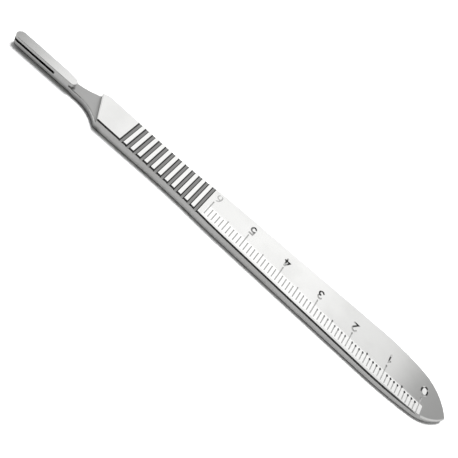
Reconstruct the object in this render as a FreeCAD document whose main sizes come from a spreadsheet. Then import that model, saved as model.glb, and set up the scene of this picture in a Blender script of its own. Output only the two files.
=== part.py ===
import FreeCAD, Part
import math
import os

import Sketcher

# Scalpel handle with a small bayonet blade fitting, in one piece of stainless steel.
# The nose points to -X, the tail to +X, the graduated face is up and the plain back lies on Z = 0.
# The origin is the middle of the length and width, on the back.

DIMENSIONS = [
    ("overall_length", 120.7, "nose tip to tail tip"),
    ("strip_margin", 2.0, "stock trimmed off outside the outline, each side"),
    ("nose_width", 2.4, "blade fitting, side to side"),
    ("nose_relief", 0.35, "underside of the fitting above the back"),
    ("relief_setback", 0.35, "end of the raised underside ahead of the key's end"),
    ("relief_radius", 1.9, "two arcs that bring the underside down to the back"),
    ("thickness_front", 3.0, "at the fitting and the shoulder"),
    ("thickness_tail", 1.6, "at the tail tip"),
    ("thinning_lead", 2.4, "top face starts to fall to the tail, ahead of the slanted step"),
    ("far_flare_setback", 1.4, "neck starts to widen behind the start of the key's slanted side"),
    ("far_flare_radius", 13.5, "hollow of the neck, far side"),
    ("far_shoulder_radius", 1.2, "rounded front corner of the grip, far side"),
    ("near_flare_setback", 1.85, "neck starts to widen on the near side behind the key's end"),
    ("near_flare_radius", 9.0, "hollow of the neck, near side"),
    ("near_shoulder_radius", 1.5, "rounded front corner of the grip, near side"),
    ("grip_width", 7.7, "parallel part of the grip"),
    ("grip_end", 39.8, "end of the parallel part, from the nose tip"),
    ("waist_end", 59.8, "start of the straight taper, from the nose tip"),
    ("waist_width", 9.6, "width there"),
    ("tail_length", 20.9, "end of the straight taper, from the tail tip"),
    ("body_width", 12.3, "width there"),
    ("far_tail_radius", 58.0, "long curve of the tail, far side"),
    ("near_tail_radius", 110.0, "long curve of the tail, near side"),
    ("far_end_radius", 11.3, "short curve to the tip, far side"),
    ("near_end_radius", 9.7, "short curve to the tip, near side"),
    ("tail_tip_radius", 0.8, "rounded tip"),
    ("tail_tip_offset", 1.2, "tip towards the graduated edge, off the middle line"),
    ("seat_depth", 1.25, "blade seat below the top face"),
    ("seat_length", 6.45, "from the key's end to the slanted step, on the middle line"),
    ("step_angle", 28.5, "slant of the step from straight across, in degrees"),
    ("key_length", 16.35, "raised key on the seat, from the nose tip"),
    ("key_taper_length", 2.4, "slanted far side at the rear of the key"),
    ("key_end_radius", 1.1, "rounded rear end of the key"),
    ("key_end_offset", 0.15, "that end towards the near side, off the middle line"),
    ("slot_height", 0.5, "side slots that take the blade"),
    ("slot_length", 11.3, "side slots, from the nose tip"),
    ("web_width", 1.1, "metal left between the side slots"),
    ("web_setback", 0.5, "front of that metal behind the nose tip"),
    ("catch_length", 1.1, "undercut that holds the rear edge of the blade's slot"),
    ("catch_depth", 0.5, "undercut below the rear of the key"),
    ("edge_chamfer", 0.3, "bevel round the upper face of the grip and body"),
    ("step_chamfer", 0.22, "bevel on the upper edge of the slanted step"),
    ("back_radius", 0.4, "edges of the back and of the fitting's underside"),
    ("key_edge_radius", 0.12, "upper edges of the key"),
    ("seat_edge_radius", 0.3, "near edge of the seat"),
    ("groove_count", 12, "finger grooves on each face"),
    ("groove_pitch", 1.88, "from groove to groove"),
    ("groove_start", 31.35, "middle of the first groove, from the nose tip"),
    ("groove_width", 0.95, "groove at the surface"),
    ("groove_floor", 0.8, "groove at its floor"),
    ("groove_depth", 0.4, "groove below the surface"),
    ("scale_zero", 6.8, "zero mark of the scale, from the tail tip"),
    ("scale_gap", 1.3, "least plain steel between the grooves and the scale"),
    ("mark_pitch", 1.0, "from mark to mark"),
    ("mark_width", 0.3, "engraved line at the face"),
    ("mark_depth", 0.14, "pointed bottom of the line below the face"),
    ("mark_base", 5.6, "near end of the zero mark, from the middle line"),
    ("mark_slope", 0.035, "inward run of the marks towards the nose"),
    ("short_mark", 2.5, "length of a 1 mm mark"),
    ("middle_mark", 3.1, "length of a 5 mm mark"),
    ("long_mark", 4.4, "length of a 10 mm mark"),
]


def make_sheet(doc):
    sheet = doc.addObject("Spreadsheet::Sheet", "Dims")
    for row, (name, value, note) in enumerate(DIMENSIONS, start=1):
        sheet.set(f"A{row}", name)
        sheet.set(f"B{row}", str(value))
        sheet.set(f"C{row}", note)
        sheet.setAlias(f"B{row}", name)
    doc.recompute()
    return sheet


# Pitches of the scale from one mark to the next mark of the same length.
MARK_STEPS = {"short": 1, "middle": 5, "long": 10}

# What facing() gives for a face that counts as an upper face, as an underside or as a wall.
UPPER = 0.9
UNDER = -0.3
WALL = 0.1

# First guess for the direction of the key's slanted side, in degrees. The sketch finds the exact one.
KEY_SLANT = 85

# Where the slanted step crosses the middle line and the two long sides of the widest stock.
STEP_MIDDLE = "Dims.key_length + Dims.seat_length - Dims.overall_length / 2"
STEP_X = STEP_MIDDLE + " {sign} Dims.body_width / 2 * tan(Dims.step_angle)"

# Where the top face starts to fall, from the nose tip, and how much it falls in each millimetre.
THINNING_START = "(Dims.key_length + Dims.seat_length - Dims.thinning_lead)"
FALL = f"(Dims.thickness_front - Dims.thickness_tail) / (Dims.overall_length - {THINNING_START})"

# Where the neck starts to widen on each side, where the raised underside ends, and the blade's level.
FLARE_X = {
    "far": "Dims.key_length - Dims.key_end_radius - Dims.key_taper_length + Dims.far_flare_setback"
    " - Dims.overall_length / 2",
    "near": "Dims.key_length + Dims.near_flare_setback - Dims.overall_length / 2",
}
RELIEF_X = "Dims.key_length - Dims.relief_setback - Dims.overall_length / 2"
SLOT_TOP = "Dims.thickness_front - Dims.seat_depth + Dims.slot_height"

# Room for the scale, between its zero mark and the last finger groove.
SCALE_ROOM = (
    "(Dims.overall_length - Dims.scale_zero - Dims.scale_gap - Dims.groove_start"
    " - (Dims.groove_count - 1) * Dims.groove_pitch - Dims.groove_width / 2)"
)


def new_sketch(body, name, plane_role, height=None):
    sketch = body.newObject("Sketcher::SketchObject", name)
    plane = next(item for item in body.Origin.OriginFeatures if item.Role == plane_role)
    sketch.AttachmentSupport = [(plane, "")]
    sketch.MapMode = "FlatFace"
    if height:
        sketch.setExpression(".AttachmentOffset.Base.z", height)
        sketch.recompute()
    return sketch


def size_of(thing, expression):
    return float(thing.evalExpression(expression))


def dimension(sketch, kind, where, expression, name):
    """Add one dimension that follows the sheet. where is the constraint's list of edges and points."""
    value = size_of(sketch, expression)
    if kind == "Angle":
        value = math.radians(value)
    index = sketch.addConstraint(Sketcher.Constraint(kind, *where, value))
    sketch.renameConstraint(index, name)
    sketch.setExpression("Constraints." + name, expression)


def place(sketch, edge, point, x, y, name):
    """Dimension one point of an edge from the sketch's origin. x and y are expressions, or None."""
    if x is not None:
        dimension(sketch, "DistanceX", (-1, 1, edge, point), x, name + "_x")
    if y is not None:
        dimension(sketch, "DistanceY", (-1, 1, edge, point), y, name + "_y")


def add_line(sketch, start, end):
    return sketch.addGeometry(Part.LineSegment(vector(start), vector(end)), False)


def add_arc(sketch, centre, radius, start, end):
    """Add an arc that runs counter-clockwise from the angle start to the angle end, in degrees."""
    circle = Part.Circle(vector(centre), FreeCAD.Vector(0, 0, 1), radius)
    arc = Part.ArcOfCircle(circle, math.radians(start), math.radians(end))
    return sketch.addGeometry(arc, False)


def vector(point):
    return FreeCAD.Vector(point[0], point[1], 0)


def polar(centre, radius, degrees):
    turn = math.radians(degrees)
    return (centre[0] + radius * math.cos(turn), centre[1] + radius * math.sin(turn))


def tie(sketch, kind, *where):
    sketch.addConstraint(Sketcher.Constraint(kind, *where))


def add_polygon(sketch, corners):
    """Add a closed chain of lines and join their ends."""
    edges = []
    for start, end in zip(corners, corners[1:] + corners[:1]):
        edges.append(add_line(sketch, start, end))
    for edge, following in zip(edges, edges[1:] + edges[:1]):
        tie(sketch, "Coincident", edge, 2, following, 1)
    return edges


def add_feature(body, kind, name, sketch, length=None):
    """Add a feature on a sketch, to the given length or right through both ways."""
    feature = body.newObject("PartDesign::" + kind, name)
    feature.Profile = sketch
    if length:
        feature.Type = "Length"
        feature.setExpression("Length", length)
    else:
        feature.SideType = "Symmetric"
        feature.Type = "ThroughAll"
    return feature


def mirrored_arc(sketch, side, centre, radius, start, end):
    """Add an arc of the far side (side 1) or its mirror image (side -1).

    Returns the edge with its point towards the nose and its point towards the tail, for an arc whose
    start lies towards the nose."""
    if side > 0:
        return add_arc(sketch, centre, radius, start, end), 1, 2
    return add_arc(sketch, (centre[0], -centre[1]), radius, -end, -start), 2, 1


def turned(link):
    """The same link for an arc whose start lies towards the tail."""
    edge, towards_nose, towards_tail = link
    return edge, towards_tail, towards_nose


def short_curve_centre(long_centre, from_long, tip_centre, from_tip):
    """Centre of the curve that touches the tail's long curve and its rounded tip, from both centres."""
    run = tip_centre[0] - long_centre[0]
    rise = tip_centre[1] - long_centre[1]
    apart = math.hypot(run, rise)
    along = (from_long ** 2 - from_tip ** 2 + apart ** 2) / (2 * apart)
    aside = math.sqrt(from_long ** 2 - along ** 2)
    return (
        long_centre[0] + (along * run - aside * rise) / apart,
        long_centre[1] + (along * rise + aside * run) / apart,
    )


def outline_side(sketch, size, side):
    """Draw one long side of the outline from the nose to the tail and dimension its own curves."""
    name = "far" if side > 0 else "near"
    nose_end = -size["overall_length"] / 2
    half_nose = size["nose_width"] / 2
    half_grip = size["grip_width"] / 2
    flare = size[name + "_flare_radius"]
    rounding = size[name + "_shoulder_radius"]
    flare_x = size_of(sketch, FLARE_X[name])
    rise = half_nose + flare - half_grip + rounding
    run = math.sqrt((flare + rounding) ** 2 - rise ** 2)
    turn = math.degrees(math.atan2(run, rise))

    grip_x = nose_end + size["grip_end"]
    waist = (nose_end + size["waist_end"], size["waist_width"] / 2)
    body = (size["overall_length"] / 2 - size["tail_length"], size["body_width"] / 2)
    taper = math.atan2(body[1] - waist[1], body[0] - waist[0])
    climb = (waist[1] - half_grip) / (waist[0] - grip_x)
    swing = climb + math.sqrt(climb ** 2 - climb * taper + taper ** 2 / 2)
    waist_radius = (waist[0] - grip_x) / (2 * swing - taper)
    swing_degrees = math.degrees(swing)
    taper_degrees = math.degrees(taper)

    tip_x = size["overall_length"] / 2 - size["tail_tip_radius"]
    tip_centre = (tip_x, -side * size["tail_tip_offset"])
    long_radius = size[name + "_tail_radius"]
    short_radius = size[name + "_end_radius"]
    long_centre = polar(body, -long_radius, 90 + taper_degrees)
    end_centre = short_curve_centre(
        long_centre, long_radius - short_radius, tip_centre, short_radius - size["tail_tip_radius"]
    )
    to_end = math.degrees(math.atan2(end_centre[1] - long_centre[1], end_centre[0] - long_centre[0]))
    to_tip = math.degrees(math.atan2(tip_centre[1] - end_centre[1], tip_centre[0] - end_centre[0]))

    def line(start, end):
        return add_line(sketch, (start[0], side * start[1]), (end[0], side * end[1])), 1, 2

    links = {
        "nose": line((nose_end + half_nose, half_nose), (flare_x, half_nose)),
        "flare": mirrored_arc(sketch, side, (flare_x, half_nose + flare), flare, 270, 270 + turn),
        "shoulder": turned(
            mirrored_arc(sketch, side, (flare_x + run, half_grip - rounding), rounding, 90, 90 + turn)
        ),
        "grip": line((flare_x + run, half_grip), (grip_x, half_grip)),
        "hollow": mirrored_arc(
            sketch, side, (grip_x, half_grip + waist_radius), waist_radius, 270, 270 + swing_degrees
        ),
        "swell": turned(
            mirrored_arc(
                sketch,
                side,
                polar(waist, -waist_radius, 90 + taper_degrees),
                waist_radius,
                90 + taper_degrees,
                90 + swing_degrees,
            )
        ),
        "body": line(waist, body),
        "tail_side": turned(
            mirrored_arc(sketch, side, long_centre, long_radius, to_end, 90 + taper_degrees)
        ),
        "tail_end": turned(
            mirrored_arc(sketch, side, end_centre, short_radius, to_tip, to_end)
        ),
    }
    chain = list(links.values())
    for link, following in zip(chain, chain[1:]):
        tie(sketch, "Tangent", link[0], link[2], following[0], following[1])
    tie(sketch, "Horizontal", links["nose"][0])
    tie(sketch, "Horizontal", links["grip"][0])
    tie(sketch, "Equal", links["hollow"][0], links["swell"][0])
    dimension(sketch, "Radius", (links["flare"][0],), f"Dims.{name}_flare_radius", name + "_flare")
    dimension(sketch, "Radius", (links["shoulder"][0],), f"Dims.{name}_shoulder_radius", name + "_shoulder")
    dimension(sketch, "Radius", (links["tail_side"][0],), f"Dims.{name}_tail_radius", name + "_tail")
    dimension(sketch, "Radius", (links["tail_end"][0],), f"Dims.{name}_end_radius", name + "_end")
    place(sketch, links["flare"][0], links["flare"][1], FLARE_X[name], None, name + "_flare_start")
    return links, side * to_tip


def draw_outline(body, size):
    """The plan of the whole handle, with a frame of stock round it that is trimmed away."""
    sketch = new_sketch(body, "Outline", "XY_Plane")
    far, far_tip_angle = outline_side(sketch, size, 1)
    near, near_tip_angle = outline_side(sketch, size, -1)
    half_nose = size["nose_width"] / 2
    nose_centre = (-size["overall_length"] / 2 + half_nose, 0)
    tip_centre = (size["overall_length"] / 2 - size["tail_tip_radius"], -size["tail_tip_offset"])
    nose = add_arc(sketch, nose_centre, half_nose, 90, 270)
    tip = add_arc(sketch, tip_centre, size["tail_tip_radius"], near_tip_angle, far_tip_angle)

    tie(sketch, "Tangent", nose, 1, far["nose"][0], far["nose"][1])
    tie(sketch, "Tangent", nose, 2, near["nose"][0], near["nose"][1])
    tie(sketch, "Tangent", tip, 2, far["tail_end"][0], far["tail_end"][2])
    tie(sketch, "Tangent", tip, 1, near["tail_end"][0], near["tail_end"][2])
    tie(sketch, "PointOnObject", nose, 3, -1)
    nose_x = "Dims.nose_width / 2 - Dims.overall_length / 2"
    place(sketch, nose, 3, nose_x, None, "nose_centre")
    dimension(sketch, "Radius", (nose,), "Dims.nose_width / 2", "nose_radius")
    tip_x = "Dims.overall_length / 2 - Dims.tail_tip_radius"
    place(sketch, tip, 3, tip_x, "-Dims.tail_tip_offset", "tip_centre")
    dimension(sketch, "Radius", (tip,), "Dims.tail_tip_radius", "tip_radius")

    grip = far["grip"]
    place(sketch, grip[0], grip[2], "Dims.grip_end - Dims.overall_length / 2", "Dims.grip_width / 2", "grip")
    straight = far["body"][0]
    waist_x = "Dims.waist_end - Dims.overall_length / 2"
    body_x = "Dims.overall_length / 2 - Dims.tail_length"
    for point, name, along in ((1, "waist", waist_x), (2, "body", body_x)):
        place(sketch, straight, point, along, f"Dims.{name}_width / 2", name)
        tie(sketch, "Symmetric", straight, point, near["body"][0], point, -1)
    tie(sketch, "Symmetric", grip[0], 2, near["grip"][0], 2, -1)

    reach = size["overall_length"] / 2 + size["strip_margin"]
    width = size["body_width"] / 2 + size["strip_margin"]
    frame = add_polygon(sketch, [(-reach, -width), (reach, -width), (reach, width), (-reach, width)])
    frame_rectangle(sketch, frame)
    return sketch


def frame_rectangle(sketch, edges):
    """Square up a rectangle of stock and dimension it from the middle."""
    for edge, direction in zip(edges, ("Horizontal", "Vertical", "Horizontal", "Vertical")):
        tie(sketch, direction, edge)
    reach = "Dims.overall_length / 2 + Dims.strip_margin"
    width = "Dims.body_width / 2 + Dims.strip_margin"
    place(sketch, edges[0], 1, f"-({reach})", f"-({width})", "stock_start")
    place(sketch, edges[2], 1, reach, width, "stock_end")


def draw_side_profile(body, size):
    """The stock seen from the side: a flat back with a raised front end, and a top that thins to the tail."""
    sketch = new_sketch(body, "SideProfile", "XZ_Plane")
    nose_end = -size["overall_length"] / 2 - size["strip_margin"]
    tail_end = size["overall_length"] / 2 + size["strip_margin"]
    top_x = size_of(sketch, f"{THINNING_START} - Dims.overall_length / 2")
    relief = size["nose_relief"]
    radius = size["relief_radius"]
    relief_x = size_of(sketch, RELIEF_X)
    turn = math.degrees(math.acos(1 - relief / (2 * radius)))
    middle_x = relief_x + radius * math.sin(math.radians(turn))
    foot_x = 2 * middle_x - relief_x
    end_height = f"Dims.thickness_tail - Dims.strip_margin * {FALL}"
    end_z = size_of(sketch, end_height)

    front = add_line(sketch, (nose_end, size["thickness_front"]), (nose_end, relief))
    underside = add_line(sketch, (nose_end, relief), (relief_x, relief))
    upper = add_arc(sketch, (relief_x, relief - radius), radius, 90 - turn, 90)
    lower = add_arc(sketch, (foot_x, radius), radius, 270 - turn, 270)
    back = add_line(sketch, (foot_x, 0), (tail_end, 0))
    end = add_line(sketch, (tail_end, 0), (tail_end, end_z))
    top = add_line(sketch, (tail_end, end_z), (top_x, size["thickness_front"]))
    key = add_line(sketch, (top_x, size["thickness_front"]), (nose_end, size["thickness_front"]))

    tie(sketch, "Coincident", front, 2, underside, 1)
    tie(sketch, "Tangent", underside, 2, upper, 2)
    tie(sketch, "Tangent", upper, 1, lower, 1)
    tie(sketch, "Tangent", lower, 2, back, 1)
    tie(sketch, "Coincident", back, 2, end, 1)
    tie(sketch, "Coincident", end, 2, top, 1)
    tie(sketch, "Coincident", top, 2, key, 1)
    tie(sketch, "Coincident", key, 2, front, 1)
    tie(sketch, "Vertical", front)
    tie(sketch, "Vertical", end)
    tie(sketch, "Horizontal", underside)
    tie(sketch, "Horizontal", back)
    tie(sketch, "Horizontal", key)
    tie(sketch, "Equal", upper, lower)
    dimension(sketch, "Radius", (upper,), "Dims.relief_radius", "relief")
    place(sketch, front, 1, "-(Dims.overall_length / 2 + Dims.strip_margin)", "Dims.thickness_front", "front")
    place(sketch, underside, 2, RELIEF_X, "Dims.nose_relief", "underside")
    place(sketch, back, 2, "Dims.overall_length / 2 + Dims.strip_margin", "0", "back")
    place(sketch, end, 2, None, end_height, "end")
    place(sketch, top, 2, f"{THINNING_START} - Dims.overall_length / 2", None, "top")
    return sketch


def draw_seat(body, size):
    """What is milled off the top between the key and the slanted step, to seat the blade."""
    sketch = new_sketch(body, "BladeSeat", "XY_Plane", "Dims.thickness_front")
    half_nose = size["nose_width"] / 2
    aside = size["body_width"] / 2
    radius = size["key_end_radius"]
    centre_x = size["key_length"] - radius - size["overall_length"] / 2
    centre = (centre_x, -size["key_end_offset"])
    meeting = math.degrees(math.asin((half_nose + centre[1]) / radius))
    near_corner = polar(centre, radius, -meeting)
    taper_start = (centre_x - size["key_taper_length"], half_nose)
    near_step = size_of(sketch, STEP_X.format(sign="+"))
    far_step = size_of(sketch, STEP_X.format(sign="-"))

    near_side = add_line(sketch, (near_corner[0], -aside), near_corner)
    key = add_arc(sketch, centre, radius, 360 - meeting, 360 + KEY_SLANT)
    taper = add_line(sketch, polar(centre, radius, KEY_SLANT), taper_start)
    far_side = add_line(sketch, taper_start, (taper_start[0], aside))
    far = add_line(sketch, (taper_start[0], aside), (far_step, aside))
    step = add_line(sketch, (far_step, aside), (near_step, -aside))
    near = add_line(sketch, (near_step, -aside), (near_corner[0], -aside))

    tie(sketch, "Coincident", near_side, 2, key, 1)
    tie(sketch, "Tangent", key, 2, taper, 1)
    tie(sketch, "Coincident", taper, 2, far_side, 1)
    tie(sketch, "Coincident", far_side, 2, far, 1)
    tie(sketch, "Coincident", far, 2, step, 1)
    tie(sketch, "Coincident", step, 2, near, 1)
    tie(sketch, "Coincident", near, 2, near_side, 1)
    tie(sketch, "Vertical", near_side)
    tie(sketch, "Vertical", far_side)
    tie(sketch, "Horizontal", far)
    tie(sketch, "Horizontal", near)
    key_x = "Dims.key_length - Dims.key_end_radius - Dims.overall_length / 2"
    dimension(sketch, "Radius", (key,), "Dims.key_end_radius", "key_end")
    place(sketch, key, 1, None, "-Dims.nose_width / 2", "key_corner")
    place(sketch, key, 3, key_x, "-Dims.key_end_offset", "key_centre")
    place(sketch, taper, 2, f"{key_x} - Dims.key_taper_length", "Dims.nose_width / 2", "taper_start")
    place(sketch, step, 1, STEP_X.format(sign="-"), "Dims.body_width / 2", "step_far")
    place(sketch, step, 2, STEP_X.format(sign="+"), "-Dims.body_width / 2", "step_near")
    return sketch


def draw_step_bevel(body, size):
    """Section of the bevel along the step's upper edge, in a plane square to the step."""
    sketch = new_sketch(body, "StepBevelSection", "XZ_Plane")
    turn = FreeCAD.Rotation(FreeCAD.Vector(0, 1, 0), 1)
    sketch.AttachmentOffset = FreeCAD.Placement(FreeCAD.Vector(), turn)
    sketch.setExpression(".AttachmentOffset.Base.x", STEP_MIDDLE)
    sketch.setExpression(".AttachmentOffset.Base.y", "Dims.thickness_front")
    sketch.setExpression(".AttachmentOffset.Rotation.Angle", "Dims.step_angle")
    sketch.recompute()
    bevel = size["step_chamfer"]
    slope, top, side = add_polygon(sketch, [(-bevel, -2 * bevel), (2 * bevel, bevel), (-bevel, bevel)])
    tie(sketch, "Horizontal", top)
    tie(sketch, "Vertical", side)
    place(sketch, slope, 1, "-Dims.step_chamfer", "-2 * Dims.step_chamfer", "bottom")
    place(sketch, slope, 2, "2 * Dims.step_chamfer", "Dims.step_chamfer", "top")
    return sketch


def draw_blade_slots(body, size):
    """What the two side slots take away round the web that is left between them."""
    sketch = new_sketch(body, "BladeSlots", "XY_Plane", SLOT_TOP)
    aside = size["nose_width"] / 2 + size["strip_margin"]
    nose_end = -size["overall_length"] / 2
    outside = nose_end - size["strip_margin"]
    slot_end = nose_end + size["slot_length"]
    half_web = size["web_width"] / 2
    web_centre = nose_end + size["web_setback"] + half_web
    front = add_line(sketch, (outside, aside), (outside, -aside))
    near = add_line(sketch, (outside, -aside), (slot_end, -aside))
    near_end = add_line(sketch, (slot_end, -aside), (slot_end, -half_web))
    near_web = add_line(sketch, (slot_end, -half_web), (web_centre, -half_web))
    web_tip = add_arc(sketch, (web_centre, 0), half_web, 90, 270)
    far_web = add_line(sketch, (web_centre, half_web), (slot_end, half_web))
    far_end = add_line(sketch, (slot_end, half_web), (slot_end, aside))
    far = add_line(sketch, (slot_end, aside), (outside, aside))
    tie(sketch, "Coincident", front, 2, near, 1)
    tie(sketch, "Coincident", near, 2, near_end, 1)
    tie(sketch, "Coincident", near_end, 2, near_web, 1)
    tie(sketch, "Tangent", near_web, 2, web_tip, 2)
    tie(sketch, "Tangent", web_tip, 1, far_web, 1)
    tie(sketch, "Coincident", far_web, 2, far_end, 1)
    tie(sketch, "Coincident", far_end, 2, far, 1)
    tie(sketch, "Coincident", far, 2, front, 1)
    for edge in (near, far, near_web):
        tie(sketch, "Horizontal", edge)
    for edge in (front, near_end, far_end):
        tie(sketch, "Vertical", edge)
    tie(sketch, "Horizontal", far_web)
    tie(sketch, "Symmetric", near, 2, far, 1, -1)
    tie(sketch, "PointOnObject", web_tip, 3, -1)
    side = "Dims.nose_width / 2 + Dims.strip_margin"
    slot_x = "Dims.slot_length - Dims.overall_length / 2"
    web_x = "Dims.web_setback + Dims.web_width / 2 - Dims.overall_length / 2"
    place(sketch, front, 1, "-(Dims.overall_length / 2 + Dims.strip_margin)", side, "outside")
    place(sketch, near_end, 2, slot_x, None, "slot_end")
    place(sketch, web_tip, 3, web_x, None, "web_centre")
    dimension(sketch, "Radius", (web_tip,), "Dims.web_width / 2", "web")
    return sketch


def draw_catch(body, size):
    """The undercut round the rear end of the key, at the level of the side slots."""
    sketch = new_sketch(body, "Catch", "XY_Plane", SLOT_TOP)
    key_end = size["key_length"] - size["overall_length"] / 2
    start_x = key_end - size["catch_length"]
    rear_x = key_end + size["strip_margin"]
    aside = size["nose_width"] / 2 + size["strip_margin"]
    radius = size["key_end_radius"] - size["catch_depth"]
    centre = (key_end - size["key_end_radius"], -size["key_end_offset"])
    corner = math.degrees(math.acos((start_x - centre[0]) / radius))
    far_corner = polar(centre, radius, corner)
    near_corner = polar(centre, radius, -corner)

    near_start = add_line(sketch, (start_x, -aside), near_corner)
    inner = add_arc(sketch, centre, radius, 360 - corner, 360 + corner)
    far_start = add_line(sketch, far_corner, (start_x, aside))
    far = add_line(sketch, (start_x, aside), (rear_x, aside))
    rear = add_line(sketch, (rear_x, aside), (rear_x, -aside))
    near = add_line(sketch, (rear_x, -aside), (start_x, -aside))
    tie(sketch, "Coincident", near_start, 2, inner, 1)
    tie(sketch, "Coincident", inner, 2, far_start, 1)
    tie(sketch, "Coincident", far_start, 2, far, 1)
    tie(sketch, "Coincident", far, 2, rear, 1)
    tie(sketch, "Coincident", rear, 2, near, 1)
    tie(sketch, "Coincident", near, 2, near_start, 1)
    for edge in (near_start, far_start, rear):
        tie(sketch, "Vertical", edge)
    for edge in (far, near):
        tie(sketch, "Horizontal", edge)
    key_x = "Dims.key_length - Dims.key_end_radius - Dims.overall_length / 2"
    side = "Dims.nose_width / 2 + Dims.strip_margin"
    start = "Dims.key_length - Dims.catch_length - Dims.overall_length / 2"
    beyond = "Dims.key_length + Dims.strip_margin - Dims.overall_length / 2"
    dimension(sketch, "Radius", (inner,), "Dims.key_end_radius - Dims.catch_depth", "inner")
    place(sketch, inner, 3, key_x, "-Dims.key_end_offset", "inner_centre")
    place(sketch, inner, 1, start, None, "inner_start")
    place(sketch, inner, 2, start, None, "inner_end")
    place(sketch, near, 2, None, f"-({side})", "near")
    place(sketch, far, 2, beyond, side, "far")
    return sketch


def lay_on_top(sketch, axis):
    """Tilt a sketch so that its X axis runs along the thinning top face, from where the thinning starts."""
    sketch.AttachmentOffset = FreeCAD.Placement(FreeCAD.Vector(), FreeCAD.Rotation(axis, 1))
    up = "y" if axis.z else "z"
    sign = "-" if axis.z else ""
    sketch.setExpression(".AttachmentOffset.Base.x", f"{THINNING_START} - Dims.overall_length / 2")
    sketch.setExpression(f".AttachmentOffset.Base.{up}", "Dims.thickness_front")
    sketch.setExpression(".AttachmentOffset.Rotation.Angle", f"{sign}atan({FALL})")
    sketch.recompute()


def draw_groove(body, size, face):
    """Section of one finger groove, on the top face (face 1) or the back (face -1)."""
    sketch = new_sketch(body, "TopGroove" if face > 0 else "BackGroove", "XZ_Plane")
    middle = f"Dims.groove_start - {THINNING_START}"
    if face > 0:
        lay_on_top(sketch, FreeCAD.Vector(0, 0, 1))
    else:
        middle = "Dims.groove_start - Dims.overall_length / 2"
    sign = "-" if face > 0 else ""
    centre = size_of(sketch, middle)
    half_width = size["groove_width"] / 2
    half_floor = size["groove_floor"] / 2
    depth = -face * size["groove_depth"]
    outside = face * size["strip_margin"]
    edges = add_polygon(
        sketch,
        [
            (centre - half_floor, depth),
            (centre + half_floor, depth),
            (centre + half_width, 0),
            (centre + half_width, outside),
            (centre - half_width, outside),
            (centre - half_width, 0),
        ],
    )
    floor, rising, right, opening, left, falling = edges
    tie(sketch, "Horizontal", floor)
    tie(sketch, "Vertical", right)
    tie(sketch, "Vertical", left)
    tie(sketch, "Horizontal", opening)
    place(sketch, floor, 1, f"{middle} - Dims.groove_floor / 2", f"{sign}Dims.groove_depth", "floor_start")
    place(sketch, floor, 2, f"{middle} + Dims.groove_floor / 2", None, "floor_end")
    place(sketch, right, 1, f"{middle} + Dims.groove_width / 2", "0", "right")
    place(sketch, left, 2, f"{middle} - Dims.groove_width / 2", "0", "left")
    place(sketch, opening, 1, None, "Dims.strip_margin" if face > 0 else "-Dims.strip_margin", "outside")
    return sketch


def draw_mark(body, size, name):
    """Pointed section of one engraved line, at the near end of the scale's zero mark."""
    sketch = new_sketch(body, name, "XZ_Plane")
    lay_on_top(sketch, FreeCAD.Vector(0, 0, 1))
    sketch.setExpression(".AttachmentOffset.Base.z", "Dims.mark_base")
    sketch.recompute()
    middle = f"Dims.overall_length - Dims.scale_zero - {THINNING_START}"
    centre = size_of(sketch, middle)
    width = size["mark_width"]
    depth = size["mark_depth"]
    edges = add_polygon(sketch, [(centre, -depth), (centre + width, depth), (centre - width, depth)])
    tie(sketch, "Horizontal", edges[1])
    place(sketch, edges[0], 1, middle, "-Dims.mark_depth", "bottom")
    place(sketch, edges[1], 1, f"{middle} + Dims.mark_width", "Dims.mark_depth", "right")
    place(sketch, edges[1], 2, f"{middle} - Dims.mark_width", None, "left")
    return sketch


def draw_scale_run(body, size):
    """The slanted line on the top face that the copies of a mark follow."""
    sketch = new_sketch(body, "ScaleRun", "XY_Plane")
    lay_on_top(sketch, FreeCAD.Vector(0, 1, 0))
    reach = MARK_STEPS["long"] * size["mark_pitch"]
    along = f"{MARK_STEPS['long']} * Dims.mark_pitch"
    run = add_line(sketch, (0, 0), (-reach, size["mark_slope"] * reach))
    sketch.toggleConstruction(run)
    tie(sketch, "Coincident", run, 1, -1, 1)
    place(sketch, run, 2, f"-{along}", f"{along} * Dims.mark_slope", "run")
    return sketch


def add_pattern(body, name, original, sketch, axis, pitch, count):
    pattern = body.newObject("PartDesign::LinearPattern", name)
    pattern.Originals = [original]
    pattern.Direction = (sketch, [axis])
    pattern.Mode = "Spacing"
    pattern.setExpression("Offset", pitch)
    pattern.setExpression("Occurrences", count)
    body.Tip = pattern
    return pattern


def facing(face):
    """How far a face looks up: 1 is straight up, -1 straight down, 0 is a wall."""
    start_u, end_u, start_v, end_v = face.ParameterRange
    return face.normalAt((start_u + end_u) / 2, (start_v + end_v) / 2).z


def ease_edges(body, kind, name, is_flat, is_side, size):
    """Fillet or chamfer each edge of the body where a face that passes is_flat meets one of is_side."""
    base = body.Tip
    names = []
    for number, edge in enumerate(base.Shape.Edges, start=1):
        faces = base.Shape.ancestorsOfType(edge, Part.Face)
        if len(faces) == 2 and any(is_flat(a) and is_side(b) for a, b in (faces, faces[::-1])):
            names.append(f"Edge{number}")
    feature = body.newObject("PartDesign::" + kind, name)
    feature.Base = (base, names)
    feature.setExpression("Radius" if kind == "Fillet" else "Size", size)
    body.Document.recompute()
    return feature


def is_wall(face):
    return abs(facing(face)) < WALL


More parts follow.
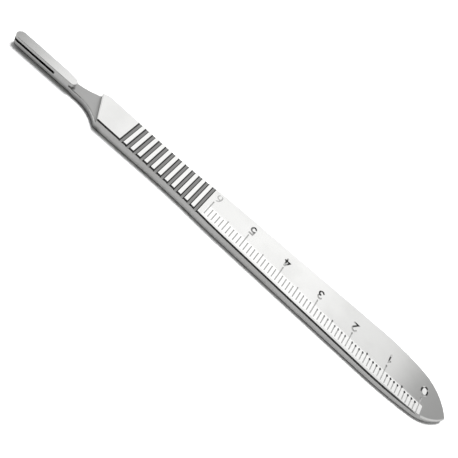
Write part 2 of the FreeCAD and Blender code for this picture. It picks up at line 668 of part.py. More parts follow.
def build_handle(doc, size):
    """Mill the handle from its stock, in the order a shop would."""
    body = doc.addObject("PartDesign::Body", "scalpel_handle")
    body.Label = "scalpel_handle"
    doc.recompute()
    seat_height = size["thickness_front"] - size["seat_depth"]
    above_seat = size["thickness_front"] - size["seat_depth"] / 2
    step_x = size["key_length"] + size["seat_length"] - size["overall_length"] / 2

    def is_body_face(face):
        return facing(face) > UPPER and face.BoundBox.ZMax > above_seat and face.BoundBox.XMax > step_x

    def is_key_face(face):
        return facing(face) > UPPER and face.BoundBox.ZMax > above_seat and face.BoundBox.XMax < step_x

    def is_seat_face(face):
        return facing(face) > UPPER and face.BoundBox.ZMax < above_seat

    def is_outline(face):
        return is_wall(face) and face.BoundBox.ZMin < seat_height / 2

    def is_near_outline(face):
        return is_outline(face) and face.BoundBox.YMax < 0

    stock = body.newObject("PartDesign::Pad", "Stock")
    stock.Profile = draw_side_profile(body, size)
    stock.SideType = "Symmetric"
    stock.setExpression("Length", "Dims.body_width + 2 * Dims.strip_margin")
    add_feature(body, "Pocket", "Trim", draw_outline(body, size))
    doc.recompute()
    ease_edges(body, "Fillet", "BackEdges", lambda face: facing(face) < UNDER, is_wall, "Dims.back_radius")
    add_feature(body, "Pocket", "SeatCut", draw_seat(body, size), "Dims.seat_depth")
    doc.recompute()
    ease_edges(body, "Chamfer", "BodyEdges", is_body_face, is_outline, "Dims.edge_chamfer")
    ease_edges(body, "Fillet", "KeyEdges", is_key_face, is_wall, "Dims.key_edge_radius")
    ease_edges(body, "Fillet", "SeatEdge", is_seat_face, is_near_outline, "Dims.seat_edge_radius")
    add_feature(body, "Pocket", "StepBevel", draw_step_bevel(body, size))
    add_feature(body, "Pocket", "SlotCut", draw_blade_slots(body, size), "Dims.slot_height")
    add_feature(body, "Pocket", "CatchCut", draw_catch(body, size), "Dims.slot_height")
    for face, name in ((1, "Top"), (-1, "Back")):
        sketch = draw_groove(body, size, face)
        groove = add_feature(body, "Pocket", name + "GrooveCut", sketch)
        add_pattern(
            body, name + "Grooves", groove, sketch, "H_Axis", "Dims.groove_pitch", "Dims.groove_count"
        )
    run = draw_scale_run(body, size)
    for name, step in MARK_STEPS.items():
        sketch = draw_mark(body, size, name.capitalize() + "Mark")
        mark = add_feature(body, "Pocket", name.capitalize() + "MarkCut", sketch, f"Dims.{name}_mark")
        pitch = f"{step} * Dims.mark_pitch * sqrt(1 + Dims.mark_slope ^ 2)"
        count = f"floor({SCALE_ROOM} / Dims.mark_pitch / {step}) + 1"
        add_pattern(body, name.capitalize() + "Marks", mark, run, "Axis0", pitch, count)
    doc.recompute()
    return body


def check_document(doc, bodies):
    for item in doc.Objects:
        if "Invalid" in item.State or "Error" in item.State:
            raise RuntimeError(f"{item.Name} failed: {item.State}")
    for body in bodies:
        if body.Shape.isNull() or not body.Shape.isValid() or len(body.Shape.Solids) != 1:
            raise RuntimeError(f"{body.Label} isn't one valid solid")


def main():
    doc = FreeCAD.newDocument("ScalpelHandle")
    sheet = make_sheet(doc)
    size = {name: float(sheet.get(name)) for name, value, note in DIMENSIONS}
    handle = build_handle(doc, size)
    check_document(doc, [handle])
    os.makedirs("parts", exist_ok=True)
    handle.Shape.exportStep(f"parts/{handle.Label}.step")
    box = handle.Shape.optimalBoundingBox(True, False)
    print(f"{box.XLength:.2f} x {box.YLength:.2f} x {box.ZLength:.2f} mm, {handle.Shape.Volume:.1f} mm3")


main()
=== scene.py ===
import math

import bmesh
import bpy
from mathutils import Matrix, Vector


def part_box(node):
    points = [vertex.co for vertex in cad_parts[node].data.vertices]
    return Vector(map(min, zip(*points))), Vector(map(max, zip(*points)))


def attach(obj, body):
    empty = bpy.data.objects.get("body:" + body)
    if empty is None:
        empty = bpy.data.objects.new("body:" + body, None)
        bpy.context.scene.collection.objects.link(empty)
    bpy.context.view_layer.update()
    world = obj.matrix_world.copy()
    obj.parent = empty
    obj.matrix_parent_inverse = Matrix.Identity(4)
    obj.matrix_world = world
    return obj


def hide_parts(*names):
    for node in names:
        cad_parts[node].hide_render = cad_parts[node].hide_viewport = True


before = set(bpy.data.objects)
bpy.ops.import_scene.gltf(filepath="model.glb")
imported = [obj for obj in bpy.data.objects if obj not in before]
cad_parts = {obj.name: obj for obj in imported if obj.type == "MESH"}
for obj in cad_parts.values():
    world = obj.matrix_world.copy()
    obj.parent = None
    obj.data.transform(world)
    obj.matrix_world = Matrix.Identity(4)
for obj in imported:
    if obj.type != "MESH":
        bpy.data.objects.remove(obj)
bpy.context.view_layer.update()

MM = 0.001

# Places on the handle, in metres, in the part's own frame: +X towards the tail, +Z out of the scale.
HANDLE = "scalpel_handle"
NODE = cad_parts[HANDLE]
LOW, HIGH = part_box(HANDLE)
TOP = HIGH.z
THINNING_START = LOW.x + 20.4 * MM
TAIL_THICKNESS = 1.6 * MM
TOP_FALL = (TOP - TAIL_THICKNESS) / (HIGH.x - THINNING_START)
SEAT_HEIGHT = TOP - 1.25 * MM
SLOT_HEIGHT = 0.5 * MM
SLOT_END = LOW.x + 11.3 * MM
SEAT_START = LOW.x + 16.35 * MM
SEAT_END = LOW.x + 28 * MM
SHOULDER_START = LOW.x + 25.5 * MM
SHOULDER_END = LOW.x + 27.2 * MM
GROOVE_START = LOW.x + 31.35 * MM
GROOVE_PITCH = 1.88 * MM
GROOVE_COUNT = 12
GROOVE_HALF = 0.475 * MM
GROOVE_EDGE = 0.16 * MM

# The scale: its mark for zero, how often a mark is longer, the line that the marks' near ends follow, and
# the marks' lengths.
SCALE_ZERO = HIGH.x - 6.8 * MM
MARK_PITCH = 1 * MM
MIDDLE_EVERY = 5
LONG_EVERY = 10
SCALE_STEP = LONG_EVERY * MARK_PITCH
MARK_BASE = -5.6 * MM
MARK_SLOPE = 0.035
SHORT_MARK = 2.5 * MM
MIDDLE_MARK = 3.1 * MM
LONG_MARK = 4.4 * MM

# The numbers: engraved with a pointed cutter, upright when the handle is read from its far side.
DIGIT_HEIGHT = 2.05 * MM
DIGIT_WIDTH = 1.3 * MM
DIGIT_GAP = 0.6 * MM
DIGITS_FAR = LONG_MARK + DIGIT_GAP + DIGIT_HEIGHT
STROKE_WIDTH = 0.44 * MM
CUTTER_LIFT = 0.05 * MM

# From 0 to 6, in millimetres: how far each number stands off its place towards the tail and the far side,
# and how deep it is cut.
NUMBER_PLACES = (
    (0.15, 0.3, 0.2),
    (0.1, 0.3, 0.2),
    (0.0, 0.0, 0.2),
    (0.0, 0.0, 0.2),
    (0.15, 0.0, 0.2),
    (0.25, 0.0, 0.18),
    (0.42, 0.1, 0.1),
)
SCALE_LENGTH = (len(NUMBER_PLACES) - 1) * SCALE_STEP

# How finely the cutters are drawn, and how the mesh is welded and shaded.
ARC_STEP = math.radians(15)
CAP_STEPS = 6
SHARPEST_BEND = 0.45
SAME_POINT = 1e-6
WELD = 1e-7
SHARP_ANGLE = math.radians(28)
COPLANAR = 0.999999
LESSER_FACE = 0.3

# Finish of the steel, and the painted shade and painted highlight laid on it. Colours are linear.
FACE_STEEL = (0.81, 0.81, 0.8, 1)
WORN_STEEL = (0.74, 0.74, 0.73, 1)
FROSTED_STEEL = (0.95, 0.95, 0.94, 1)
ENGRAVED_STEEL = (0.43, 0.43, 0.425, 1)
# Painted shade at the far ends of the scale's marks and on the far strokes of its numbers.
SCALE_SHADE_TONE = (0.03, 0.03, 0.03, 1)
RIB_STEEL = (0.86, 0.86, 0.85, 1)
MILLED_STEEL = (0.5, 0.5, 0.495, 1)
GROOVE_STEEL = (0.29, 0.29, 0.285, 1)
# Painted shade along the walls of the grip's grooves.
GROOVE_WALL_SHADE = (0.03, 0.03, 0.03, 1)
# Painted shade on the far bevels.
FAR_BEVEL_SHADE = (0.4, 0.4, 0.395, 1)
# Painted highlight on the bevel of the step.
STEP_BEVEL_HIGHLIGHT = (0.85, 0.85, 0.84, 1)
FITTING_SHADE = (0.2, 0.2, 0.2, 1)
# Painted shade in the blade slot.
SLOT_SHADE = (0.02, 0.02, 0.02, 1)
FROSTED_METAL = 0.8
ENGRAVED_METAL = 0.4
FACE_ROUGHNESS = 0.1
CLOUD_ROUGHNESS = 0.04
WALL_ROUGHNESS = 0.25
FROSTED_ROUGHNESS = 0.38
ENGRAVED_ROUGHNESS = 0.5
MILLED_ROUGHNESS = 0.42
GRAIN_SCALE = 5200
GRAIN_DETAIL = 3
GRAIN_STRENGTH = 0.06
GRAIN_HEIGHT = 0.02 * MM
CLOUD_SCALE = 110
CLOUD_DETAIL = 4
WORN_START = 0.4
WORN_FULL = 0.75

# Where the finishes, the painted shade and the painted highlight lie. A normal's share along an axis tells
# walls, bevels and faces apart.
WALL_LEVEL = 0.6
FACE_LEVEL = 0.8
BEVEL_LEVEL = 0.3
BEVEL_ASIDE = 0.4
RECESS_START = 0.3 * MM
RECESS_FULL = 0.34 * MM
# Where the painted shade round the scale lies: dark spots at the marks' far ends, weaker on long marks, and
# the numbers' far strokes, both fading towards the grip.
END_SHADE_RADIUS = 0.3 * MM
END_SHADE_CORE = 0.21 * MM
END_SHADE_FULL = 8 * MM
END_SHADE_LIMIT = 40 * MM
LONG_MARK_LESS_SHADE = 0.6
SHADED_STROKES = DIGITS_FAR - 0.7 * DIGIT_HEIGHT
SHADED_STROKES_FULL = SHADED_STROKES + 0.25 * DIGIT_HEIGHT
STROKE_SHADE_FULL = 42 * MM
STROKE_SHADE_LIMIT = 62 * MM
BAND_MARGIN = 0.45 * MM
BAND_START = -1.0 * MM
BAND_FULL = -0.8 * MM
ZERO_MIDDLE = 0.6 * MM
ZERO_CORE = 0.48 * MM
SHADE_ABOVE = 0.25 * MM
# Painted shade also covers this strip along the blade slot's lips.
SLOT_SHADE_MARGIN = 0.08 * MM
ENGRAVING_REACH = 0.35 * MM
SLIVER = 0.02 * MM

# The studio, in metres. Levels are linear, 1 being white. The room's limits are shares of a direction
# along an axis: its near side is dim from DARK_START up, and what the steel mirrors below LOW_END is grey.
PAPER = (0.9, 0.9, 0.9, 1)
PAPER_IN_STEEL = (0.33, 0.33, 0.33, 1)
WHITE = (1, 1, 1, 1)
GLOW_START = 0.12
GLOW_FULL = 0.3
FLOOR_REACH = 2.0
FILL_LEVEL = 4.0
FILL_SIZE = 0.19
FILL_PLACE = Vector((0, 0.14, 0.565))
ROOM_NEAR = 0.03
NEAR_END = -0.19
LIGHT_START = -0.14
ROOM_LOW = 0.5
LOW_END = 0.42
DARK_START = 0.55
ROOM_SIDE = 0.75
SIDE_START = 0.5
SIDE_FULL = 0.75
TOP_LIGHT = 1.3

# What the light overhead shows along the handle: the sine of the side angle and the level there.
LIGHT_PROFILE = (
    (-0.40, 0.42),
    (-0.36, 0.46),
    (-0.345, 0.63),
    (-0.31, 0.84),
    (-0.28, 1.05),
    (-0.17, 1.08),
    (0.03, 1.13),
    (0.15, 1.19),
    (0.205, 1.10),
    (0.25, 0.985),
    (0.325, 0.925),
    (0.345, 0.76),
    (0.362, 0.47),
    (0.38, 0.40),
    (0.42, 0.38),
)


def top_height(x):
    """Height of the upper face at x. It falls evenly from THINNING_START to the tail."""
    return TOP - TOP_FALL * max(0.0, x - THINNING_START)


# The numbers of the scale, as strokes in a box 1 wide and 1 high.


def arc(centre, radii, start, end):
    """Points along an ellipse's arc, from one angle to another in degrees."""
    turn = math.radians(end - start)
    steps = max(2, round(abs(turn) / ARC_STEP))
    angles = [math.radians(start) + turn * step / steps for step in range(steps + 1)]
    return [
        (centre[0] + radii[0] * math.cos(angle), centre[1] + radii[1] * math.sin(angle)) for angle in angles
    ]


def digit_strokes(digit):
    """The strokes of one figure. A stroke that ends where it starts is a ring."""
    figures = {
        0: [arc((0.5, 0.5), (0.62, 0.56), 90, 450)],
        1: [[(0.24, 0.78), (0.55, 1.0), (0.55, 0.0)]],
        2: [arc((0.5, 0.71), (0.4, 0.29), 165, -35) + [(0.1, 0.0), (0.95, 0.0)]],
        3: [arc((0.48, 0.74), (0.36, 0.26), 150, -80), arc((0.48, 0.26), (0.42, 0.26), 85, -150)],
        4: [[(0.72, 0.0), (0.72, 1.0)], [(0.66, 1.0), (0.05, 0.3), (0.98, 0.3)]],
        5: [[(0.88, 1.0), (0.2, 1.0), (0.14, 0.55)] + arc((0.47, 0.32), (0.43, 0.32), 120, -145)],
        6: [arc((0.5, 0.31), (0.41, 0.31), 90, 450), arc((0.78, 0.36), (0.68, 0.64), 100, 178)],
    }
    return figures[digit]


def number_place(digit, aside, ahead):
    """The middle of a number's box along the handle, and the end of the box that is next to its mark."""
    run = digit * SCALE_STEP
    return SCALE_ZERO - run + aside * MM, MARK_BASE + run * MARK_SLOPE + LONG_MARK + DIGIT_GAP + ahead * MM


def engraving_place(point, middle_x, base_y):
    """Where a point of a figure's box lies on the handle. The figure's top points to the near side."""
    x = middle_x - (point[0] - 0.5) * DIGIT_WIDTH
    y = base_y + (1 - point[1]) * DIGIT_HEIGHT
    return Vector((x, y, top_height(x)))


def stroke_cutter(stroke, depth, middle_x, base_y):
    """A closed V-shaped body along one stroke, with conical ends."""
    ring = math.dist(stroke[0], stroke[-1]) < SAME_POINT
    points = [engraving_place(point, middle_x, base_y) for point in (stroke[:-1] if ring else stroke)]
    count = len(points)
    reach = STROKE_WIDTH / 2 * (1 + CUTTER_LIFT / depth)
    up = Vector((0, 0, 1))
    cutter = bmesh.new()
    rows = []
    for index, point in enumerate(points):
        before = points[index - 1] if ring or index else point
        after = points[(index + 1) % count] if ring or index < count - 1 else point
        arriving = (point - before).normalized() if before != point else (after - point).normalized()
        leaving = (after - point).normalized() if after != point else arriving
        along = (arriving + leaving).normalized()
        aside = up.cross(along).normalized() * reach / max(SHARPEST_BEND, along.dot(leaving))
        left = cutter.verts.new(point + aside + up * CUTTER_LIFT)
        right = cutter.verts.new(point - aside + up * CUTTER_LIFT)
        bottom = cutter.verts.new(point - up * depth)
        rows.append((left, right, bottom))
    pairs = list(zip(rows, rows[1:] + rows[:1])) if ring else list(zip(rows, rows[1:]))
    for (left, right, bottom), (next_left, next_right, next_bottom) in pairs:
        cutter.faces.new((left, bottom, next_bottom, next_left))
        cutter.faces.new((bottom, right, next_right, next_bottom))
        cutter.faces.new((right, left, next_left, next_right))
    if not ring:
        for (left, right, bottom), way in ((rows[0], -1), (rows[-1], 1)):
            middle = (left.co + right.co) / 2
            aside = left.co - middle
            along = aside.cross(up) * way
            rim = [left]
            for step in range(1, CAP_STEPS):
                angle = math.pi * step / CAP_STEPS
                rim.append(cutter.verts.new(middle + aside * math.cos(angle) + along * math.sin(angle)))
            rim.append(right)
            cutter.faces.new(rim)
            for first, second in zip(rim, rim[1:]):
                cutter.faces.new((first, second, bottom))
    bmesh.ops.recalc_face_normals(cutter, faces=cutter.faces)
    mesh = bpy.data.meshes.new("cutter")
    cutter.to_mesh(mesh)
    cutter.free()
    return bpy.data.objects.new("cutter", mesh)


def applied(piece):
    """The piece's mesh with its modifiers applied."""
    bpy.context.view_layer.update()
    depsgraph = bpy.context.evaluated_depsgraph_get()
    return bpy.data.meshes.new_from_object(piece.evaluated_get(depsgraph))


def flat_areas(solid):
    """The area of the flat face that each polygon belongs to, by polygon index."""
    areas = {}
    for start in solid.faces:
        if start.index in areas:
            continue
        members = {start.index: start}
        waiting = [start]
        while waiting:
            face = waiting.pop()
            for edge in face.edges:
                for other in edge.link_faces:
                    if other.index not in members and other.normal.dot(face.normal) > COPLANAR:
                        members[other.index] = other
                        waiting.append(other)
        total = sum(member.calc_area() for member in members.values())
        areas.update({index: total for index in members})
    return areas


def smooth_fan(loop):
    """The corners round a vertex that one corner shades smoothly with."""
    fan = {loop.face.index: loop}
    waiting = [loop]
    while waiting:
        corner = waiting.pop()
        for edge in (corner.edge, corner.link_loop_prev.edge):
            for other in edge.link_loops:
                if other.face.index in fan or other.face.normal.angle(corner.face.normal, 0) > SHARP_ANGLE:
                    continue
                turned = other if other.vert == corner.vert else other.link_loop_next
                fan[other.face.index] = turned
                waiting.append(turned)
    return list(fan.values())


def shade(mesh):
    """Shade curved faces smoothly and keep flat ones flat, so that they mirror the studio truly."""
    solid = bmesh.new()
    solid.from_mesh(mesh)
    solid.faces.index_update()
    areas = flat_areas(solid)
    normals = []
    for face in solid.faces:
        for loop in face.loops:
            fan = smooth_fan(loop)
            largest = max(areas[corner.face.index] for corner in fan)
            normal = Vector()
            for corner in fan:
                if areas[corner.face.index] > LESSER_FACE * largest:
                    normal += corner.face.normal * corner.calc_angle()
            normals.append(normal.normalized() if normal.length else face.normal.copy())
    solid.free()
    mesh.polygons.foreach_set("use_smooth", [True] * len(mesh.polygons))
    mesh.normals_split_custom_set(normals)


def engraved_handle():
    """The milled handle with its seven numbers cut into it."""
    mesh = bpy.data.meshes.new("engraved_handle")
    solid = bmesh.new()
    solid.from_mesh(NODE.data)
    bmesh.ops.remove_doubles(solid, verts=solid.verts, dist=WELD)
    solid.to_mesh(mesh)
    solid.free()
    piece = bpy.data.objects.new("engraved_handle", mesh)
    bpy.context.scene.collection.objects.link(piece)
    for digit, (aside, ahead, depth) in enumerate(NUMBER_PLACES):
        middle_x, base_y = number_place(digit, aside, ahead)
        for stroke in digit_strokes(digit):
            cutter = stroke_cutter(stroke, depth * MM, middle_x, base_y)
            bpy.context.scene.collection.objects.link(cutter)
            cut = piece.modifiers.new("cut", "BOOLEAN")
            cut.operation = "DIFFERENCE"
            cut.solver = "EXACT"
            cut.object = cutter
            piece.data = applied(piece)
            piece.modifiers.clear()
            bpy.data.objects.remove(cutter)
    shade(piece.data)
    piece.data.materials.clear()
    piece.data.materials.append(steel_material())
    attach(piece, "root")
    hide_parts(HANDLE)
    return piece


# Materials.


class Graph:
    """The node tree of a material or of the world. Each step adds nodes and returns a socket."""

    def __init__(self, owner, output):
        owner.use_nodes = True
        self.nodes = owner.node_tree.nodes
        self.links = owner.node_tree.links
        self.nodes.clear()
        self.surface = self.nodes.new(output).inputs["Surface"]

    def add(self, kind):
        return self.nodes.new("ShaderNode" + kind)

    def feed(self, socket, value):
        """Give a socket another socket's value, or a value of its own."""
        if isinstance(value, bpy.types.NodeSocket):
            self.links.new(value, socket)
        else:
            socket.default_value = value

    def calculate(self, operation, *values):
        node = self.add("Math")
        node.operation = operation
        for socket, value in zip(node.inputs, values):
            self.feed(socket, value)
        return node.outputs[0]

    def subtract(self, first, second):
        return self.calculate("SUBTRACT", first, second)

    def multiply_add(self, value, factor, offset):
        return self.calculate("MULTIPLY_ADD", value, factor, offset)

    def product(self, first, *factors):
        for factor in factors:
            first = self.calculate("MULTIPLY", first, factor)
        return first

    def radius(self, across, along):
        """The distance from a middle, from the distances along two axes."""
        square = self.product(across, across)
        return self.calculate("SQRT", self.multiply_add(along, along, square))

    def smooth_step(self, value, start, full):
        """0 at the start, 1 where it is full, and a soft change between. The start may be the larger."""
        node = self.add("MapRange")
        node.interpolation_type = "SMOOTHSTEP"
        self.feed(node.inputs["Value"], value)
        self.feed(node.inputs["From Min"], start)
        self.feed(node.inputs["From Max"], full)
        return node.outputs["Result"]

    def between(self, value, low, high):
        """1 from low to high and 0 outside."""
        half = (high - low) / 2
        return self.calculate("COMPARE", value, low + half, half)

    def mix(self, mask, first, second):
        """The first level where the mask is 0, the second where it is 1."""
        node = self.add("Mix")
        for socket, value in zip((node.inputs[0], node.inputs[2], node.inputs[3]), (mask, first, second)):
            self.feed(socket, value)
        return node.outputs[0]

    def mix_colours(self, mask, first, second):
        """The first colour where the mask is 0, the second where it is 1."""
        node = self.add("Mix")
        node.data_type = "RGBA"
        for socket, value in zip((node.inputs[0], node.inputs[6], node.inputs[7]), (mask, first, second)):
            self.feed(socket, value)
        return node.outputs[2]

    def axes(self, vector):
        node = self.add("SeparateXYZ")
        self.feed(node.inputs[0], vector)
        return node.outputs

    def noise(self, place, scale, detail):
        node = self.add("TexNoise")
        self.feed(node.inputs["Vector"], place)
        self.feed(node.inputs["Scale"], scale)
        self.feed(node.inputs["Detail"], detail)
        return node.outputs["Fac"]


def scale_masks(graph, x, y, below):
    """The frosted places round the scale, its engraved lines, and the painted shade at the far ends of its
    marks and on the far strokes of its numbers.
    """
    run = graph.subtract(SCALE_ZERO, x)
    count = graph.calculate("ROUND", graph.calculate("DIVIDE", run, MARK_PITCH))
    middle, long = (
        graph.calculate("LESS_THAN", graph.calculate("FLOORED_MODULO", count, float(every)), 0.5)
        for every in (MIDDLE_EVERY, LONG_EVERY)
    )
    length = graph.multiply_add(middle, MIDDLE_MARK - SHORT_MARK, SHORT_MARK)
    length = graph.multiply_add(long, LONG_MARK - MIDDLE_MARK, length)
    along_mark = graph.subtract(y, graph.multiply_add(run, MARK_SLOPE, MARK_BASE))

    near_face = graph.calculate("LESS_THAN", below, ENGRAVING_REACH)
    on_face = graph.calculate("LESS_THAN", graph.calculate("ABSOLUTE", below), SLIVER)
    engraved = graph.product(
        graph.between(run, -DIGIT_WIDTH, SCALE_LENGTH + DIGIT_WIDTH),
        graph.between(along_mark, -SLIVER, DIGITS_FAR + SLIVER),
        near_face,
        graph.smooth_step(below, SLIVER, 2 * SLIVER),
    )

    # Painted shade: dark spots at the far ends of the marks.
    off_mark = graph.multiply_add(count, -MARK_PITCH, run)
    off_end = graph.subtract(graph.calculate("ADD", along_mark, END_SHADE_RADIUS), length)
    mark_end_shade = graph.product(
        graph.smooth_step(graph.radius(off_mark, off_end), END_SHADE_RADIUS, END_SHADE_CORE),
        graph.between(run, -SLIVER, SCALE_LENGTH + MARK_PITCH / 2),
        graph.smooth_step(run, END_SHADE_LIMIT, END_SHADE_FULL),
        graph.multiply_add(long, -LONG_MARK_LESS_SHADE, 1.0),
        near_face,
    )
    # Painted shade on the far strokes of the numbers.
    far_stroke_shade = graph.product(
        graph.smooth_step(along_mark, SHADED_STROKES, SHADED_STROKES_FULL),
        engraved,
        graph.smooth_step(run, STROKE_SHADE_LIMIT, STROKE_SHADE_FULL),
    )
    scale_shade = graph.calculate("MAXIMUM", mark_end_shade, far_stroke_shade)

    off_band = graph.calculate("ABSOLUTE", graph.subtract(along_mark, SHORT_MARK / 2))
    band = graph.product(
        graph.smooth_step(run, BAND_START, BAND_FULL),
        graph.smooth_step(run, SCALE_LENGTH + BAND_MARGIN, SCALE_LENGTH),
        graph.smooth_step(off_band, SHORT_MARK / 2 + BAND_MARGIN, SHORT_MARK / 2),
    )
    aside, ahead, _ = NUMBER_PLACES[0]
    zero_x, zero_y = number_place(0, aside, ahead)
    off_zero = graph.subtract(y, zero_y + DIGIT_HEIGHT / 2)
    off_zero = graph.product(off_zero, DIGIT_WIDTH / DIGIT_HEIGHT)
    off_zero = graph.radius(off_zero, graph.subtract(x, zero_x))
    in_zero = graph.smooth_step(off_zero, ZERO_MIDDLE, ZERO_CORE)
    frosted = graph.product(graph.calculate("MAXIMUM", band, in_zero), on_face)
    return frosted, engraved, scale_shade


def grip_masks(graph, x, level, inside):
    """The grip's ribs, the floors of its grooves, and the painted shade: a dark line along each wall of a
    groove.
    """
    first = GROOVE_START - GROOVE_HALF - GROOVE_EDGE
    last = GROOVE_START + (GROOVE_COUNT - 1) * GROOVE_PITCH + GROOVE_HALF + GROOVE_EDGE
    at_grip = graph.between(x, first, last)
    rib = graph.product(at_grip, level)
    recess = graph.product(graph.smooth_step(inside, RECESS_START, RECESS_FULL), level)
    off_groove = graph.calculate("PINGPONG", graph.subtract(x, GROOVE_START), GROOVE_PITCH / 2)
    off_wall = graph.calculate("ABSOLUTE", graph.subtract(off_groove, GROOVE_HALF - GROOVE_EDGE / 2))
    # Painted shade: a dark line on the flat faces next to each groove wall.
    corner_shade = graph.product(rib, graph.smooth_step(off_wall, GROOVE_EDGE, GROOVE_EDGE / 2))
    return rib, recess, graph.product(recess, at_grip), corner_shade


def steel_material():
    """Satin stainless steel: cloudy bright faces, a frosted scale and dull recesses, with painted shade in
    the blade slot, along the grooves' walls, on the far bevels, on the fitting's lower walls and round the
    scale's marks and numbers, and a painted highlight on the step's bevel.
    """
    material = bpy.data.materials.new("satin_steel")
    graph = Graph(material, "ShaderNodeOutputMaterial")
    place = graph.add("TexCoord").outputs["Object"]
    x, y, z = graph.axes(place)
    aside, ahead, up = graph.axes(graph.add("NewGeometry").outputs["True Normal"])

    level = graph.smooth_step(graph.calculate("ABSOLUTE", up), WALL_LEVEL, FACE_LEVEL)
    wall = graph.subtract(1.0, level)
    thinned = graph.calculate("MAXIMUM", graph.subtract(x, THINNING_START), 0.0)
    below = graph.subtract(graph.multiply_add(thinned, -TOP_FALL, TOP), z)
    frosted, engraved, scale_shade = scale_masks(graph, x, y, below)
    rib, recess, groove, groove_corner_shade = grip_masks(graph, x, level, graph.calculate("MINIMUM", below, z))

    bevel = graph.product(wall, graph.calculate("GREATER_THAN", up, BEVEL_LEVEL))
    # Painted shade on the far bevels.
    shaded_far_bevel = graph.product(bevel, graph.calculate("GREATER_THAN", ahead, BEVEL_ASIDE))
    # Painted highlight on the step's bevel.
    step_highlight = graph.product(
        bevel,
        graph.calculate("LESS_THAN", aside, -BEVEL_ASIDE),
        graph.between(x, SEAT_START, SEAT_END),
    )
    fitting_shade = graph.product(
        wall,
        graph.smooth_step(x, SHOULDER_END, SHOULDER_START),
        graph.smooth_step(z, SEAT_HEIGHT + SHADE_ABOVE, 0.0),
    )
    # Painted shade: the blade slot and a thin strip along its lips are painted near black.
    shaded_slot = graph.product(
        graph.between(z, SEAT_HEIGHT - SLOT_SHADE_MARGIN, SEAT_HEIGHT + SLOT_HEIGHT + SLOT_SHADE_MARGIN),
        graph.calculate("LESS_THAN", x, SLOT_END + SLIVER),
    )
    grain = graph.noise(place, GRAIN_SCALE, GRAIN_DETAIL)
    cloud = graph.noise(place, CLOUD_SCALE, CLOUD_DETAIL)

    colour = FACE_STEEL
    for mask, tone in (
        (graph.smooth_step(cloud, WORN_START, WORN_FULL), WORN_STEEL),
        (rib, RIB_STEEL),
        (frosted, FROSTED_STEEL),
        (engraved, ENGRAVED_STEEL),
        # Painted shade round the scale's marks and numbers.
        (scale_shade, SCALE_SHADE_TONE),
        (recess, MILLED_STEEL),
        (groove, GROOVE_STEEL),
        # Painted shade along the groove walls.
        (groove_corner_shade, GROOVE_WALL_SHADE),
        # Painted shade on the far bevels.
        (shaded_far_bevel, FAR_BEVEL_SHADE),
        # Painted highlight on the step's bevel.
        (step_highlight, STEP_BEVEL_HIGHLIGHT),
        (fitting_shade, FITTING_SHADE),
        # Painted shade in the blade slot.
        (shaded_slot, SLOT_SHADE),
    ):
        colour = graph.mix_colours(mask, colour, tone)

    metal = graph.multiply_add(frosted, FROSTED_METAL - 1, 1.0)
    # The step's bevel is made less metallic too, for its painted highlight.
    metal = graph.multiply_add(graph.calculate("MAXIMUM", engraved, step_highlight), ENGRAVED_METAL - 1, metal)

    rough = graph.multiply_add(cloud, CLOUD_ROUGHNESS, FACE_ROUGHNESS)
    for mask, roughness in (
        (wall, WALL_ROUGHNESS),
        (frosted, FROSTED_ROUGHNESS),
        (engraved, ENGRAVED_ROUGHNESS),
        (recess, MILLED_ROUGHNESS),
    ):
        rough = graph.mix(mask, rough, roughness)

    bump = graph.add("Bump")
    graph.feed(bump.inputs["Strength"], GRAIN_STRENGTH)
    graph.feed(bump.inputs["Distance"], GRAIN_HEIGHT)
    graph.feed(bump.inputs["Height"], grain)

    shader = graph.add("BsdfPrincipled")
    graph.feed(shader.inputs["Base Color"], colour)
    graph.feed(shader.inputs["Metallic"], metal)
    graph.feed(shader.inputs["Roughness"], rough)
    graph.feed(shader.inputs["Normal"], bump.outputs["Normal"])
    graph.feed(graph.surface, shader.outputs["BSDF"])
    return material


def floor_material():
    """White paper that takes the handle's shadow, is grey in the steel and glows white farther off."""
    material = bpy.data.materials.new("white_floor")
    graph = Graph(material, "ShaderNodeOutputMaterial")
    rays = graph.add("LightPath")
    paper = graph.add("BsdfDiffuse")
    tone = graph.mix_colours(rays.outputs["Is Glossy Ray"], PAPER, PAPER_IN_STEEL)
    graph.feed(paper.inputs["Color"], tone)

    distance = graph.add("VectorMath")
    distance.operation = "LENGTH"
    graph.feed(distance.inputs[0], graph.add("TexCoord").outputs["Object"])
    outside = graph.smooth_step(distance.outputs["Value"], GLOW_START, GLOW_FULL)
    glow = graph.add("Emission")
    graph.feed(glow.inputs["Color"], WHITE)
    graph.feed(glow.inputs["Strength"], graph.product(outside, rays.outputs["Is Camera Ray"]))

    both = graph.add("AddShader")
    graph.feed(both.inputs[0], paper.outputs[0])
    graph.feed(both.inputs[1], glow.outputs[0])
    graph.feed(graph.surface, both.outputs[0])
    return material


# The studio: white paper with a lamp for it, and a world that the steel mirrors.


def add_floor():
    mesh = bpy.data.meshes.new("floor")
    corners = [(-1, -1), (1, -1), (1, 1), (-1, 1)]
    mesh.from_pydata([(FLOOR_REACH * a, FLOOR_REACH * b, -SLIVER) for a, b in corners], [], [(0, 1, 2, 3)])
    floor = bpy.data.objects.new("floor", mesh)
    floor.data.materials.append(floor_material())
    bpy.context.scene.collection.objects.link(floor)


def overhead_light(graph, aside):
    """The level of the light overhead in a direction, from LIGHT_PROFILE."""
    low, high = LIGHT_PROFILE[0][0], LIGHT_PROFILE[-1][0]
    ramp = graph.add("ValToRGB")
    graph.feed(ramp.inputs["Fac"], graph.calculate("DIVIDE", graph.subtract(aside, low), high - low))
    stops = ramp.color_ramp.elements
    while len(stops) < len(LIGHT_PROFILE):
        stops.new(0.5)
    for stop, (sine, level) in zip(stops, LIGHT_PROFILE):
        stop.position = (sine - low) / (high - low)
        stop.color = (level / TOP_LIGHT, level / TOP_LIGHT, level / TOP_LIGHT, 1)
    return graph.product(ramp.outputs["Color"], TOP_LIGHT)


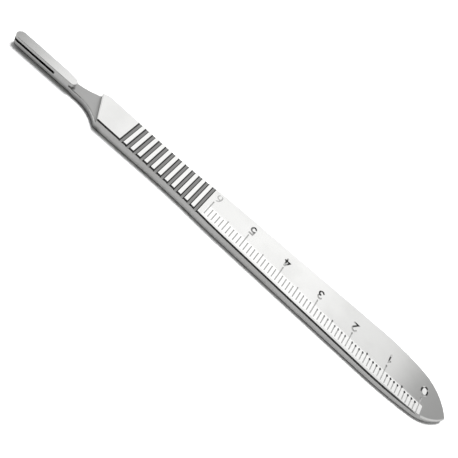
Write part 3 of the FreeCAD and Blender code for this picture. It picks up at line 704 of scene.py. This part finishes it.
def add_world():
    """The room round the handle: a long light overhead and behind, grey sides and a dim near side.

    The camera itself sees white in place of it."""
    world = bpy.data.worlds.new("studio")
    bpy.context.scene.world = world
    graph = Graph(world, "ShaderNodeOutputWorld")
    rays = graph.add("LightPath")
    aside, ahead, height = graph.axes(graph.add("TexCoord").outputs["Generated"])

    low_in_steel = graph.product(
        graph.smooth_step(height, DARK_START, LOW_END), rays.outputs["Is Glossy Ray"]
    )
    near = graph.mix(low_in_steel, ROOM_NEAR, ROOM_LOW)
    behind = graph.smooth_step(ahead, NEAR_END, LIGHT_START)
    level = graph.mix(behind, near, overhead_light(graph, aside))
    to_side = graph.smooth_step(graph.calculate("ABSOLUTE", aside), SIDE_START, SIDE_FULL)
    level = graph.mix(to_side, level, ROOM_SIDE)

    studio, white = graph.add("Background"), graph.add("Background")
    for background in (studio, white):
        graph.feed(background.inputs["Color"], WHITE)
    graph.feed(studio.inputs["Strength"], level)
    seen = graph.add("MixShader")
    graph.feed(seen.inputs[0], rays.outputs["Is Camera Ray"])
    graph.feed(seen.inputs[1], studio.outputs[0])
    graph.feed(seen.inputs[2], white.outputs[0])
    graph.feed(graph.surface, seen.outputs[0])


def add_fill():
    """A lamp above and behind that lights the paper. The steel doesn't mirror it."""
    lamp = bpy.data.lights.new("fill", "AREA")
    lamp.shape = "DISK"
    lamp.size = FILL_SIZE
    lamp.energy = FILL_LEVEL
    fill = bpy.data.objects.new("fill", lamp)
    fill.visible_glossy = False
    fill.location = FILL_PLACE
    fill.rotation_euler = (-FILL_PLACE).to_track_quat("-Z", "Y").to_euler()
    bpy.context.scene.collection.objects.link(fill)


# The camera, as the photograph was taken.

CAMERA_PLACE = Vector((-3.188, -101.150, 108.760)) * MM
CAMERA_ELEVATION = math.radians(47.0)
CAMERA_YAW = math.radians(1.620)
CAMERA_ROLL = math.radians(42.506)
FOCAL_PIXELS = 700
FRAME_PIXELS = 458
SENSOR = 36.0
CLIP_NEAR = 0.01
CLIP_FAR = 10


def add_camera():
    camera = bpy.data.objects.new("camera", bpy.data.cameras.new("camera"))
    camera.data.sensor_width = SENSOR
    camera.data.lens = SENSOR * FOCAL_PIXELS / FRAME_PIXELS
    camera.data.clip_start = CLIP_NEAR
    camera.data.clip_end = CLIP_FAR
    forward = Vector(
        (
            math.sin(CAMERA_YAW) * math.cos(CAMERA_ELEVATION),
            math.cos(CAMERA_YAW) * math.cos(CAMERA_ELEVATION),
            -math.sin(CAMERA_ELEVATION),
        )
    )
    level_right = forward.cross(Vector((0, 0, 1))).normalized()
    level_up = level_right.cross(forward)
    right = level_right * math.cos(CAMERA_ROLL) + level_up * math.sin(CAMERA_ROLL)
    up = level_up * math.cos(CAMERA_ROLL) - level_right * math.sin(CAMERA_ROLL)
    turn = Matrix((right, up, -forward)).transposed()
    camera.matrix_world = Matrix.Translation(CAMERA_PLACE) @ turn.to_4x4()
    bpy.context.scene.collection.objects.link(camera)
    bpy.context.scene.camera = camera


def main():
    scene = bpy.context.scene
    scene.view_settings.view_transform = "Standard"
    engraved_handle()
    add_floor()
    add_world()
    add_fill()
    add_camera()


main()
